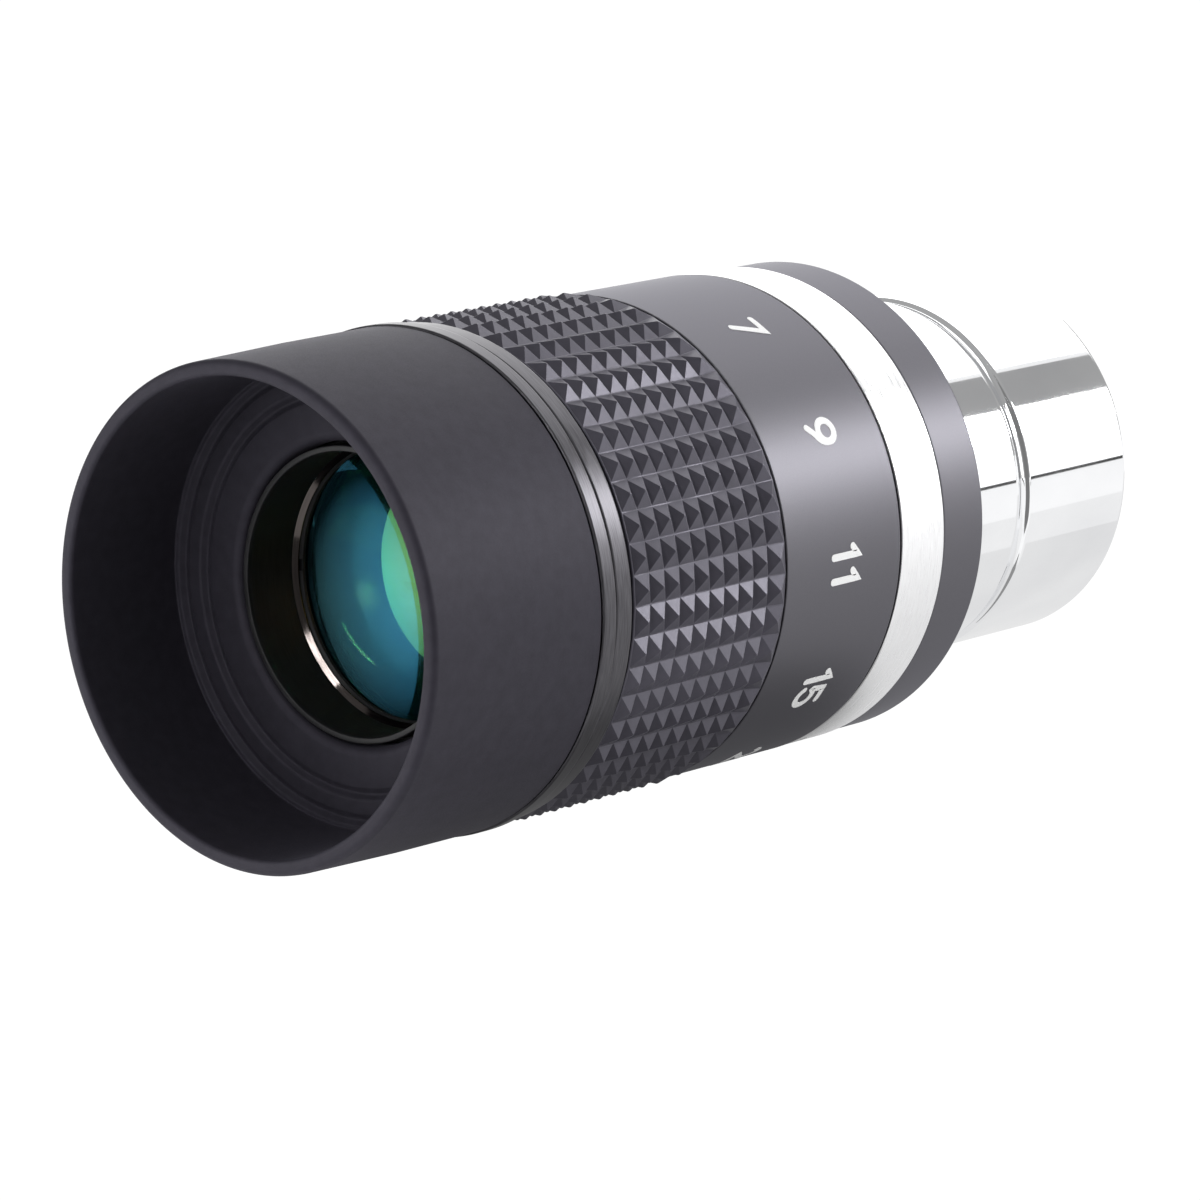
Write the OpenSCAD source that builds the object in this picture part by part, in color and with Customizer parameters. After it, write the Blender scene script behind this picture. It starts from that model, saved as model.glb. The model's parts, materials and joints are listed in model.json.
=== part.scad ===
// Zoom eyepiece for a telescope, 1.25 inch nosepiece, millimetres.
// The optical axis lies level along Y: the eye is at -Y, the telescope at +Y, and +Z is up.
// The origin is the centre of the seating shoulder, where the nosepiece enters the base ring.
// Each piece is drawn upright, with z as its height above the shoulder towards the eye, and
// lay() then turns it level. Angles are measured round the axis from +X towards +Z.

/* [Nosepiece] */
// Outside diameter of the push-fit barrel
nose_d = 31.7; // [31.5:0.1:31.8]
// Length of the barrel below the shoulder
nose_len = 26.7; // [25:0.1:30]
// Radius of the filter thread, modelled as its plain minor wall
filter_r = 13.95; // [13.9:0.01:14.1]
// Length of the filter thread
filter_len = 4.5; // [3:0.5:6]
// Distance from the shoulder to the lower edge of the safety groove
groove_z = 12.7; // [8:0.1:14]
// Width of the safety groove
groove_w = 1.9; // [1:0.1:4]
// Depth of the safety groove
groove_d = 0.5; // [0.3:0.1:1]

/* [Body] */
// Height of the base ring's rim
base_h = 5.5; // [5:0.1:8]
// Top of the silver band
band_top = 11.3; // [10:0.1:12]
// Top of the bare, numbered part of the zoom sleeve
scale_top = 26.4; // [24:0.1:27]
// Underside of the retaining ring
retainer_z = 45.7; // [45.5:0.1:46]
// Top of the retaining ring
retainer_top = 47.8; // [47.4:0.1:48]
// Top of the eyecup collar's rim
collar_top = 49.6; // [49.4:0.1:50]
// Outer radius of the numbered sleeve
sleeve_r = 20.65; // [20.4:0.05:20.8]

/* [Rubber] */
// Height of the eyecup's lip
lip_z = 68.7; // [66:0.1:72]
// Outer radius of the lip
lip_r = 20.55; // [20:0.05:20.8]
// Height of the innermost terrace of the eyecup floor
floor_z = 56.3; // [55.5:0.1:57]
// Grip pyramids round the sleeve
grip_n = 50; // [40:1:60]
// Grip pyramids along the sleeve
grip_rows = 10; // [8:1:12]

/* [Zoom] */
// Angle of the index dot, where the number 21 stands at rest
index_angle = -64.5; // [-180:0.5:180]
// Turn of the zoom sleeve from 21 mm to 7 mm, in degrees
zoom_turn = 126; // [100:1:130]
// Travel of the field lens group
field_travel = 11; // [8:0.5:11]
// Travel of the middle lens group
middle_travel = 6; // [4:0.5:6]

/* [Hidden] */

$fn = 96;
nose_r = nose_d / 2;
spigot_r = 14.87;
// The barrel necks down where it passes the shoulder, into a shallow recess of the base ring
neck_r = 15.6;
recess = 0.5;
// Rounding of the barrel's mouth
mouth_round = 0.5;

// Clearances: gap between fixed parts, running fit, and a visible seam
gap = 0.03;
run = 0.05;
seam = 0.2;

// Radii of the nested tubes, from the light path outwards
bore_r = 14.2;
guide_in = 13.9;
guide_out = 15.5;
cam_in = guide_out + run;
cam_out = 17.5;
shell_in = cam_out + gap;
grip_seat_r = 19.2;
grip_valley_r = 20.3;
grip_peak_r = 21;
rim_r = 21;
slider_r = guide_in - run;

// Heights
hub_r = 18.5;
hub_top = band_top - 0.2;
spigot_len = 3;
cam_z = band_top + 0.4;
sleeve_z = band_top + seam;
sleeve_top = retainer_z - 0.35;
cam_top = sleeve_top - 0.1;
guide_top = 50.5;
band_r = 20.6;
index_z = band_top - 1.5;
index_r = 0.55;
slip_in = guide_out + 0.25;

// Grub screws, and the hub that carries the eyecup
lock_screw_angles = [60, 180, 300];
lock_screw_z = 8.6;
lock_screw_r = 1;
drive_screw_angles = [30, 150, 270];
drive_screw_z = 43;
drive_screw_r = 1;
collar_screw_angle = -90;
collar_screw_z = 50.1;
collar_screw_r = 0.75;
collar_hub_r = 17.6;
collar_hub_top = 54;
bead_z = 51;
bead_w = 1.4;
bead_d = 0.6;

// Lens groups at rest, the 21 mm end of the zoom
carrier_z = -4;
carrier_top = 28;
field_pin_z = 26;
middle_z = 30.5;
middle_h = 6;
middle_pin_z = middle_z + middle_h / 2;
middle_bore = 11.25;
middle_ring_r = 10.4;
cam_pin_r = 1;
field_pin_angle = 0;
middle_pin_angle = 90;
carrier_in = 12.2;
field_glass_r = carrier_in - gap;
stop_angle = -24;
stop_pin_r = 0.6;
stop_pin_z = 6.5;
stop_pitch_r = 16.8;

// Eye lens cell
cell_z = 43.2;
cell_bore = 11.95;
cell_lip = 10.9;
eye_glass_r = 11.9;
eye_edge_z = 48.7;
eye_edge_h = 0.8;
eye_ring_r = 11.3;
bezel_z = 50.4;
cell_top = 52;
ledge = 0.7;

// Curves of the lens surfaces, and the heights at which they meet the lenses' edges
eye_lens_curve = 38;
crown_top_curve = 60;
crown_edge_z = 46.9;
eye_join_curve = 40;
eye_join_z = 46.2;
field_top_curve = 90;
field_edge_z = 2.2;
field_join_curve = 36;
field_join_z = 1.4;
field_front_curve = 42;
middle_curve = 30;
cement = 0.01;

// Facets of the lens surfaces
glass_fn = 240;

// Points on an arc, for turned outlines
function arc(cx, cy, r, a0, a1, n = 6) =
    [for (i = [0:n]) let (a = a0 + (a1 - a0) * i / n) [cx + r * cos(a), cy + r * sin(a)]];
// Height of a sphere's cap at a given radius, measured down from its top
function sag(big_r, r) = big_r - sqrt(big_r * big_r - r * r);
// Height, at a radius, of a domed lens surface that meets the lens's edge at edge_z
function rim_height(curve, edge_z, glass_r, r) = edge_z + sag(curve, glass_r) - sag(curve, r);
// Half the axial width of a cam slot that climbs dz over the zoom turn
function slot_half(dz) =
    (cam_pin_r + 0.12) / cos(atan(dz / (zoom_turn * PI / 180 * (cam_in + cam_out) / 2)));

module lay() { rotate([90, 0, 0]) children(); }
module turned(points) { rotate_extrude() polygon(points); }
module tube(r_out, r_in, z0, z1) {
    difference() {
        translate([0, 0, z0]) cylinder(r = r_out, h = z1 - z0);
        translate([0, 0, z0 - 1]) cylinder(r = r_in, h = z1 - z0 + 2);
    }
}
module chamfered_tube(r_out, r_in, z0, z1, c) {
    turned([[r_in, z0], [r_out - c, z0], [r_out, z0 + c], [r_out, z1 - c], [r_out - c, z1], [r_in, z1]]);
}
module radial(angle, z, r_start, r_end, r) {
    rotate([0, 0, angle]) translate([r_start, 0, z]) rotate([0, 90, 0]) cylinder(r = r, h = r_end - r_start);
}
// Screwdriver slot across the outer end of a grub screw
module driver_slot(angle, z, r) {
    rotate([0, 0, angle]) translate([r, -0.15, z - 1.2]) cube([2, 0.3, 2.4]);
}
// Ball whose top, and ball whose underside, is a lens surface that meets the lens's edge at edge_z
module dome(curve, edge_z, glass_r) {
    translate([0, 0, edge_z + sag(curve, glass_r) - curve]) sphere(r = curve, $fn = glass_fn);
}
module bowl(curve, edge_z, glass_r) {
    translate([0, 0, edge_z - sag(curve, glass_r) + curve]) sphere(r = curve, $fn = glass_fn);
}
// Spanner notches across the top face of a lens retaining ring
module spanner_notches(r_mid, z) {
    for (a = [0, 180]) rotate([0, 0, a]) translate([r_mid - 2, -0.5, z]) cube([4, 1, 2]);
}

// ---- Fixed body ----

module nosepiece() {
    relief_z = -nose_len + filter_len;
    flat_z = -groove_z + groove_w * 0.35;
    top = spigot_len - 0.1;
    color("gainsboro") turned(concat(
        [[filter_r, -nose_len]],
        arc(nose_r - mouth_round, -nose_len + mouth_round, mouth_round, -90, 0, 4),
        [[nose_r, -groove_z], [nose_r - groove_d, -groove_z], [nose_r - groove_d, flat_z],
         [nose_r, -groove_z + groove_w], [nose_r, 0], [neck_r, 0], [neck_r, recess - gap],
         [spigot_r, recess - gap], [spigot_r, top - 0.2], [spigot_r - 0.2, top], [bore_r, top],
         [bore_r, relief_z + 0.25], [filter_r, relief_z]]));
}

// Blackened light baffle pressed into the nosepiece behind the filter thread
module nose_baffle() {
    z0 = -nose_len + filter_len + 0.6;
    z1 = z0 + 3;
    wall = 0.22;
    lip = 0.42;
    color("black") turned([[bore_r - lip, z0], [bore_r - gap, z0], [bore_r - gap, z1], [bore_r - wall, z1],
                           [bore_r - wall, z0 + 0.5], [bore_r - lip, z0 + 0.4]]);
}

// Dark ring with the shoulder, a softened lower edge, and a hub that the silver band slips over
module base_ring() {
    rim = 20.45;
    color("dimgray") difference() {
        turned([[nose_r + run, 0], [rim - 0.5, 0], [rim - 0.15, 0.15], [rim, 0.5],
                [rim, base_h - 0.15], [rim - 0.15, base_h], [hub_r, base_h], [hub_r, hub_top],
                [cam_in, hub_top], [cam_in, spigot_len], [spigot_r + gap, spigot_len],
                [spigot_r + gap, recess], [nose_r + run, recess]]);
        for (a = lock_screw_angles) radial(a, lock_screw_z, guide_out, hub_r + 1, lock_screw_r);
        rotate([0, 0, stop_angle]) translate([stop_pitch_r, 0, stop_pin_z - 0.1])
            cylinder(r = stop_pin_r + gap, h = 6);
    }
}

module silver_band() {
    color("white") difference() {
        chamfered_tube(band_r, hub_r + gap, base_h + 0.06, band_top, 0.12);
        radial(index_angle, index_z, band_r - 0.4, band_r + 1, index_r + 0.01);
    }
}

// Black enamel dot, set in the silver band, that the numbers are read against
module index_dot() {
    color("black") radial(index_angle, index_z, band_r - 0.39, band_r - 0.02, index_r);
}

// Fixed tube with straight slots that keep both lens groups from turning
module guide_tube() {
    color("dimgray") difference() {
        tube(guide_out, guide_in, spigot_len + gap, guide_top);
        for (a = [0, 180]) {
            straight_slot(field_pin_angle + a, field_pin_z - field_travel, field_pin_z);
            straight_slot(middle_pin_angle + a, middle_pin_z, middle_pin_z + middle_travel);
        }
    }
}
module straight_slot(angle, z0, z1) {
    half = cam_pin_r + 0.06;
    radial(angle, z0 - 0.3, guide_in - 1, guide_out + 1, half);
    radial(angle, z1 + 0.3, guide_in - 1, guide_out + 1, half);
    rotate([0, 0, angle]) translate([guide_in - 1, -half, z0 - 0.3])
        cube([guide_out - guide_in + 2, half * 2, z1 - z0 + 0.6]);
}

module guide_lock_screws() {
    color("dimgray") for (a = lock_screw_angles) difference() {
        radial(a, lock_screw_z, guide_out + 0.02, hub_r - 0.1, lock_screw_r - gap);
        driver_slot(a, lock_screw_z, hub_r - 0.9);
    }
}

// Peg that the zoom sleeve's end stops run up against
module stop_screw() {
    reach = 1.4;
    color("silver") rotate([0, 0, stop_angle]) translate([stop_pitch_r, 0, stop_pin_z])
        cylinder(r = stop_pin_r, h = cam_z + reach - stop_pin_z);
}

module lower_slip_ring() {
    color("white") difference() {
        tube(cam_out - 0.1, slip_in, hub_top + gap, cam_z - 0.06);
        rotate([0, 0, stop_angle]) translate([stop_pitch_r, 0, hub_top - 1])
            cylinder(r = stop_pin_r + 0.15, h = 3);
    }
}

module upper_slip_ring() {
    color("white") tube(18.5, slip_in, sleeve_top + 0.05, retainer_z - 0.05);
}

module retaining_ring() {
    color([0.2, 0.2, 0.21]) chamfered_tube(20.75, guide_out + gap, retainer_z, retainer_top, 0.2);
}

// Metal collar with a grooved hub that the eyecup's bead snaps into
module eyecup_collar() {
    z0 = retainer_top + 0.08;
    color([0.2, 0.2, 0.21]) difference() {
        turned([[guide_out + gap, z0], [rim_r - 0.2, z0], [rim_r, z0 + 0.2], [rim_r, collar_top - 0.25],
                [rim_r - 0.25, collar_top], [collar_hub_r, collar_top], [collar_hub_r, bead_z],
                [collar_hub_r - bead_d, bead_z], [collar_hub_r - bead_d, bead_z + bead_w],
                [collar_hub_r, bead_z + bead_w], [collar_hub_r, collar_hub_top - 0.2],
                [collar_hub_r - 0.2, collar_hub_top], [guide_out + gap, collar_hub_top]]);
        radial(collar_screw_angle, collar_screw_z, guide_out - 1, collar_hub_r + 1, collar_screw_r);
    }
}

module collar_lock_screw() {
    color("dimgray") radial(collar_screw_angle, collar_screw_z, guide_out + 0.02, collar_hub_r - 0.2,
                            collar_screw_r - gap);
}

// Soft eyecup: tapering wall, rounded lip, terraced floor, and a bead inside its root
module eyecup() {
    z0 = collar_top + 0.05;
    root_r = 20.85;
    hub = collar_hub_r + 0.05;
    bead = hub - bead_d + 0.1;
    wall_in = 19.25;
    terrace = 0.5;
    lip_out = 0.6;
    lip_in = 0.35;
    hole = 12.4;
    hole_round = 0.6;
    under = collar_hub_top + 0.08;
    color([0.1, 0.1, 0.1]) turned(concat(
        [[hub, z0], [root_r - 0.1, z0], [root_r, z0 + 0.1], [root_r - 0.05, lip_z - 10],
         [lip_r + 0.05, lip_z - 2]],
        arc(lip_r - lip_out, lip_z - lip_out, lip_out, 0, 90, 5),
        arc(wall_in + lip_in, lip_z - lip_in, lip_in, 90, 180, 4),
        [[wall_in - 0.1, floor_z + 2 * terrace + 0.5], [wall_in - 0.5, floor_z + 2 * terrace],
         [18.1, floor_z + 2 * terrace], [18, floor_z + terrace], [16, floor_z + terrace],
         [15.9, floor_z], [hole + hole_round, floor_z], [hole, floor_z - hole_round],
         [hole, under], [hub, under], [hub, bead_z + bead_w - 0.1], [bead, bead_z + bead_w - 0.2],
         [bead, bead_z + 0.2], [hub, bead_z + 0.1]]));
}

// Black ring that lines the way down to the eye lens
module eye_bezel() {
    inner = 11.4;
    wall = 12.1;
    flange = 13.3;
    flange_z = cell_top + 0.05;
    flange_h = 1.15;
    top = floor_z - 0.1;
    color([0.08, 0.08, 0.08]) turned([[inner, bezel_z], [wall, bezel_z], [wall, flange_z], [flange, flange_z],
        [flange, flange_z + flange_h], [wall, flange_z + flange_h], [wall, top - 0.1], [wall - 0.15, top],
        [wall - 0.4, top], [wall - 0.55, top - 0.2], [inner, bezel_z + 0.8]]);
}

module eye_cell() {
    flange = 15.3;
    flange_h = 0.9;
    bezel_r = 12.15;
    color([0.15, 0.15, 0.15]) turned([[cell_lip, cell_z], [guide_in - gap, cell_z],
        [guide_in - gap, guide_top + gap], [flange, guide_top + gap], [flange, guide_top + flange_h],
        [13.4, guide_top + flange_h], [13.4, cell_top], [bezel_r, cell_top], [bezel_r, bezel_z - 0.05],
        [cell_bore, bezel_z - 0.05], [cell_bore, cell_z + ledge], [cell_lip, cell_z + ledge]]);
}

// Front eye lens, flat below and convex towards the eye
module eye_lens() {
    edge_top = eye_edge_z + eye_edge_h;
    color([0.55, 0.85, 0.8, 0.5]) intersection() {
        translate([0, 0, eye_edge_z]) cylinder(r = eye_glass_r, h = 5, $fn = glass_fn);
        dome(eye_lens_curve, edge_top, eye_glass_r);
    }
}

module eye_lens_spacer() {
    z0 = rim_height(crown_top_curve, crown_edge_z, eye_glass_r, eye_ring_r) + 0.02;
    color("black") tube(cell_bore - gap, eye_ring_r, z0, eye_edge_z - 0.02);
}

module eye_doublet_crown() {
    color([0.7, 0.85, 0.8, 0.5]) intersection() {
        translate([0, 0, eye_join_z - 5]) cylinder(r = eye_glass_r, h = 10, $fn = glass_fn);
        dome(crown_top_curve, crown_edge_z, eye_glass_r);
        bowl(eye_join_curve, eye_join_z + cement, eye_glass_r);
    }
}

module eye_doublet_flint() {
    z0 = cell_z + ledge + 0.02;
    color([0.8, 0.85, 0.75, 0.5]) difference() {
        translate([0, 0, z0]) cylinder(r = eye_glass_r, h = eye_join_z - z0);
        bowl(eye_join_curve, eye_join_z - cement, eye_glass_r);
    }
}

// Threaded ring that holds the eye lenses down in their cell
module eye_cell_ring() {
    z0 = rim_height(eye_lens_curve, eye_edge_z + eye_edge_h, eye_glass_r, eye_ring_r) + 0.05;
    h = 0.55;
    color("black") difference() {
        turned([[eye_ring_r, z0], [cell_bore - gap, z0], [cell_bore - gap, z0 + h],
                [eye_ring_r + 0.25, z0 + h], [eye_ring_r, z0 + h - 0.25]]);
        spanner_notches(12, z0 + h - 0.25);
    }
}

// ---- Zoom sleeve, turned by hand ----

module zoom_sleeve() {
    color("dimgray") difference() {
        turned([[shell_in, sleeve_z], [sleeve_r - 0.2, sleeve_z], [sleeve_r, sleeve_z + 0.2],
                [sleeve_r, scale_top - 0.15], [sleeve_r - 0.15, scale_top], [grip_seat_r, scale_top],
                [grip_seat_r, sleeve_top], [shell_in, sleeve_top]]);
        for (a = drive_screw_angles)
            radial(a, drive_screw_z, cam_out - 0.5, grip_seat_r + 1, drive_screw_r);
    }
}

// Rubber sleeve covered in rows of square pyramids
module rubber_grip() {
    z0 = scale_top + 0.1;
    z1 = retainer_z - 0.65;
    land = 0.25;
    pitch = (z1 - z0 - 2 * land) / grip_rows;
    step = 360 / grip_n;
    grid = [for (j = [0:grip_rows]) for (i = [0:grip_n - 1])
        [grip_valley_r * cos(i * step), grip_valley_r * sin(i * step), z0 + land + j * pitch]];
    tips = [for (j = [0:grip_rows - 1]) for (i = [0:grip_n - 1]) let (a = (i + 0.5) * step)
        [grip_peak_r * cos(a), grip_peak_r * sin(a), z0 + land + (j + 0.5) * pitch]];
    ends = [for (z = [z0, z1]) for (i = [0:grip_n - 1])
        [grip_valley_r * cos(i * step), grip_valley_r * sin(i * step), z]];
    n_grid = len(grid);
    low = n_grid + len(tips);
    high = low + grip_n;
    top_row = grip_rows * grip_n;
    pyramids = [for (j = [0:grip_rows - 1]) for (i = [0:grip_n - 1])
        let (k = (i + 1) % grip_n, a = j * grip_n + i, b = j * grip_n + k,
             c = b + grip_n, d = a + grip_n, t = n_grid + j * grip_n + i)
        for (face = [[a, t, b], [b, t, c], [c, t, d], [d, t, a]]) face];
    lands = [for (i = [0:grip_n - 1]) let (k = (i + 1) % grip_n)
        for (face = [[low + i, i, k, low + k], [top_row + i, high + i, high + k, top_row + k]]) face];
    caps = [[for (i = [0:grip_n - 1]) low + i], [for (i = [grip_n - 1:-1:0]) high + i]];
    color([0.2, 0.2, 0.22]) difference() {
        polyhedron(points = concat(grid, tips, ends), faces = concat(pyramids, lands, caps));
        translate([0, 0, z0 - 1]) cylinder(r = grip_seat_r + gap, h = z1 - z0 + 2);
    }
}

// Tube with two pairs of helical slots and a notch for the stop screw
module cam_sleeve() {
    notch_pad = asin(stop_pin_r / stop_pitch_r) + 0.8;
    color("darkgray") difference() {
        tube(cam_out, cam_in, cam_z, cam_top);
        for (a = [0, 180]) {
            cam_slot(field_pin_angle + a, field_pin_z, -field_travel);
            cam_slot(middle_pin_angle + a, middle_pin_z, middle_travel);
        }
        rotate([0, 0, stop_angle - notch_pad]) translate([0, 0, cam_z - 1])
            rotate_extrude(angle = zoom_turn + 2 * notch_pad)
                translate([cam_in - 1, 0]) square([cam_out - cam_in + 2, 2.6]);
        for (a = drive_screw_angles)
            radial(a, drive_screw_z, cam_in - 1, cam_out + 1, drive_screw_r - 0.05);
    }
}
// One helical slot, swept in short steps, with round ends
module cam_slot(angle, z0, dz) {
    half = slot_half(dz);
    steps = 36;
    r0 = cam_in - 0.8;
    r1 = cam_out + 0.8;
    rings = [for (i = [0:steps]) let (a = angle + zoom_turn * i / steps, z = z0 + dz * i / steps)
        for (q = [[r0, -half], [r1, -half], [r1, half], [r0, half]])
            [q[0] * cos(a), q[0] * sin(a), z + q[1]]];
    sides = [for (i = [0:steps - 1]) for (k = [0:3]) let (m = (k + 1) % 4)
        for (face = [[i * 4 + k, i * 4 + m, i * 4 + 4 + m], [i * 4 + k, i * 4 + 4 + m, i * 4 + 4 + k]])
            face];
    polyhedron(points = rings,
               faces = concat(sides, [[3, 2, 1, 0], [for (k = [0:3]) steps * 4 + k]]));
    radial(angle, z0, cam_in - 1, cam_out + 1, cam_pin_r + 0.12);
    radial(angle + zoom_turn, z0 + dz, cam_in - 1, cam_out + 1, cam_pin_r + 0.12);
}

// Grub screws under the grip that tie the zoom sleeve to the cam sleeve
module drive_screws() {
    color("dimgray") for (a = drive_screw_angles) difference() {
        radial(a, drive_screw_z, cam_in + 0.1, grip_seat_r - 0.15, drive_screw_r - 0.07);
        driver_slot(a, drive_screw_z, grip_seat_r - 0.8);
    }
}

// ---- Lens groups that slide along the axis ----

module cam_pins(z, angle, r_start) {
    for (a = [0, 180]) radial(angle + a, z, r_start, cam_out - 0.2, cam_pin_r);
}

module field_carrier() {
    land_z = 20;
    waist = 13.4;
    lip = 11.2;
    color([0.15, 0.15, 0.15]) difference() {
        turned([[lip, carrier_z], [waist, carrier_z], [waist, land_z], [slider_r, land_z + 0.4],
                [slider_r, carrier_top], [carrier_in, carrier_top], [carrier_in, carrier_z + 0.8],
                [lip, carrier_z + 0.8]]);
        for (a = [0, 180]) radial(field_pin_angle + a, field_pin_z, 11, 15, cam_pin_r + 0.01);
    }
}

// Weak biconvex half of the negative field doublet
module field_doublet_crown() {
    color([0.7, 0.85, 0.8, 0.5]) intersection() {
        translate([0, 0, field_join_z - 4]) cylinder(r = field_glass_r, h = 8, $fn = glass_fn);
        dome(field_top_curve, field_edge_z, field_glass_r);
        bowl(field_join_curve, field_join_z + cement, field_glass_r);
    }
}

// Biconcave half of the negative field doublet
module field_doublet_flint() {
    z0 = carrier_z + 0.82;
    hollow_r = 10;
    color([0.8, 0.85, 0.75, 0.5]) difference() {
        translate([0, 0, z0]) cylinder(r = field_glass_r, h = field_join_z - z0);
        bowl(field_join_curve, field_join_z - cement, field_glass_r);
        dome(field_front_curve, z0 + 0.4, hollow_r);
    }
}

module field_cell_ring() {
    top = 4.6;
    inner = 11;
    color("black") difference() {
        turned([[inner, 3.3], [field_glass_r, 2.55], [field_glass_r, top], [inner, top]]);
        spanner_notches(12.5, top - 0.6);
    }
}

// Knife-edged ring that gives the view its sharp border
module field_stop() {
    opening = 9;
    z0 = 12;
    wall = 11.4;
    color("black") turned([[opening, z0], [field_glass_r, z0], [field_glass_r, z0 + 2], [wall, z0 + 2],
                           [wall, z0 + 0.6], [opening, z0 + 0.15]]);
}

module field_cam_pins() { color("gold") cam_pins(field_pin_z, field_pin_angle, carrier_in + 0.1); }

module middle_cell() {
    top = middle_z + middle_h;
    color([0.15, 0.15, 0.15]) difference() {
        turned([[middle_ring_r, middle_z], [slider_r, middle_z], [slider_r, top], [middle_bore, top],
                [middle_bore, middle_z + 2], [middle_ring_r, middle_z + 1.7]]);
        for (a = [0, 180]) radial(middle_pin_angle + a, middle_pin_z, 11.9, 15, cam_pin_r + 0.01);
    }
}

// Biconvex lens of the middle group
module middle_lens() {
    glass_r = middle_bore - 0.05;
    half_edge = 0.6;
    color([0.6, 0.8, 0.85, 0.5]) intersection() {
        translate([0, 0, middle_pin_z - 4]) cylinder(r = glass_r, h = 8, $fn = glass_fn);
        dome(middle_curve, middle_pin_z + half_edge, glass_r);
        bowl(middle_curve, middle_pin_z - half_edge, glass_r);
    }
}

module middle_cell_ring() {
    z0 = middle_pin_z + 0.98;
    z1 = z0 + 1.2;
    color("black") difference() {
        turned([[middle_ring_r, z0], [middle_bore - gap, z0], [middle_bore - gap, z1], [middle_ring_r, z1]]);
        spanner_notches(11.8, z1 - 0.5);
    }
}

module middle_cam_pins() { color("gold") cam_pins(middle_pin_z, middle_pin_angle, 12); }

lay() nosepiece();
lay() nose_baffle();
lay() base_ring();
lay() silver_band();
lay() guide_tube();
lay() guide_lock_screws();
lay() stop_screw();
lay() lower_slip_ring();
lay() upper_slip_ring();
lay() retaining_ring();
lay() eyecup_collar();
lay() index_dot();
lay() collar_lock_screw();
lay() eyecup();
lay() eye_bezel();
lay() eye_cell();
lay() eye_lens();
lay() eye_lens_spacer();
lay() eye_doublet_crown();
lay() eye_doublet_flint();
lay() eye_cell_ring();
lay() zoom_sleeve();
lay() rubber_grip();
lay() cam_sleeve();
lay() drive_screws();
lay() field_carrier();
lay() field_doublet_crown();
lay() field_doublet_flint();
lay() field_cell_ring();
lay() field_stop();
lay() field_cam_pins();
lay() middle_cell();
lay() middle_lens();
lay() middle_cell_ring();
lay() middle_cam_pins();
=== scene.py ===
"""Zoom eyepiece for a telescope: the looks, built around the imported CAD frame.

Outlines are lists of (radius, height) in millimetres, where height is the distance from the
seating shoulder towards the eye. Turned about the optical axis they give the round pieces.
Angles are measured round the axis from +X towards +Z, as in the frame.
"""

import json
from math import ceil, cos, hypot, pi, radians, sin, sqrt

import bmesh
import bpy
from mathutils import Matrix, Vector


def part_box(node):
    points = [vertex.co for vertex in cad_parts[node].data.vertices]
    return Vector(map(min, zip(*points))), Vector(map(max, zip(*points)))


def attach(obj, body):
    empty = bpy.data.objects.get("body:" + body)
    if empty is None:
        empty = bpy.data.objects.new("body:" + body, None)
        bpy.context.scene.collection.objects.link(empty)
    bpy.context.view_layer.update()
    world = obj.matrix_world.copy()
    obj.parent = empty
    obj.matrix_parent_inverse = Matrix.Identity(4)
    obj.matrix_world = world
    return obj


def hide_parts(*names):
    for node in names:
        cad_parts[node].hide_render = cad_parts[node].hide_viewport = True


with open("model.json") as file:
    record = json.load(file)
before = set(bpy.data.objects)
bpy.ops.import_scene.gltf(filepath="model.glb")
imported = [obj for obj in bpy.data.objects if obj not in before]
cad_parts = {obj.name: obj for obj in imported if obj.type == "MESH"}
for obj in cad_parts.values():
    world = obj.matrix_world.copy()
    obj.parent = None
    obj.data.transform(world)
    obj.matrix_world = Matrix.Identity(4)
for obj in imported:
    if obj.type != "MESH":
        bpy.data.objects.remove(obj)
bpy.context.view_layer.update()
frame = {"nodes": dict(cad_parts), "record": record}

# Millimetres to the scene's metres
MM = 0.001
# Flat faces round a turned piece
STEPS = 256

# The dial: the angle of the first number, the angle from one to the next, and their height
NUMBERS = ("7", "9", "11", "15", "21")
FIRST_NUMBER = 61.5
NUMBER_STEP = 31.5
NUMBER_HEIGHT = 18.85
# At rest the last number stands at the index dot
INDEX_ANGLE = FIRST_NUMBER - NUMBER_STEP * (len(NUMBERS) - 1)

# Heights where a CAD node steps inwards: the base ring's hub, the sleeve's grip seat and the
# eyecup collar's hub
RIM_TOP = 5.5
SCALE_TOP = 26.4
COLLAR_TOP = 49.6
# Bore of the two narrow rings beside the grip
NARROW_RING_BORE = 15.53


def add_object(name, data):
    """A new object in the scene that holds the given mesh or camera."""
    item = bpy.data.objects.new(name, data)
    bpy.context.scene.collection.objects.link(item)
    return item


# ---- Camera ----

def place_camera():
    """The camera of the product view: above and in front of the eye end, with a long lens."""
    azimuth = radians(41.09)
    elevation = radians(11.83)
    distance = 0.5
    target = Vector((1.92, -28.16, -4.55)) * MM
    level = cos(elevation)
    away = Vector((sin(azimuth) * level, -cos(azimuth) * level, sin(elevation)))
    data = bpy.data.cameras.new("camera")
    data.lens = 180
    data.sensor_width = 36
    data.clip_start = 0.01
    camera = add_object("camera", data)
    camera.location = target + away * distance
    camera.rotation_euler = (-away).to_track_quat("-Z", "Y").to_euler()
    bpy.context.scene.camera = camera


place_camera()


# ---- Reading the frame ----

def span(node):
    """(lowest height, highest height, outer radius) of a CAD node, in millimetres."""
    low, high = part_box(node)
    return -high.y / MM, -low.y / MM, high.x / MM


def at(radius, height, angle):
    """The point at a radius and height in millimetres and an angle in radians, in metres."""
    return Vector((radius * cos(angle), -height, radius * sin(angle))) * MM


# ---- Mesh tools ----

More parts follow.
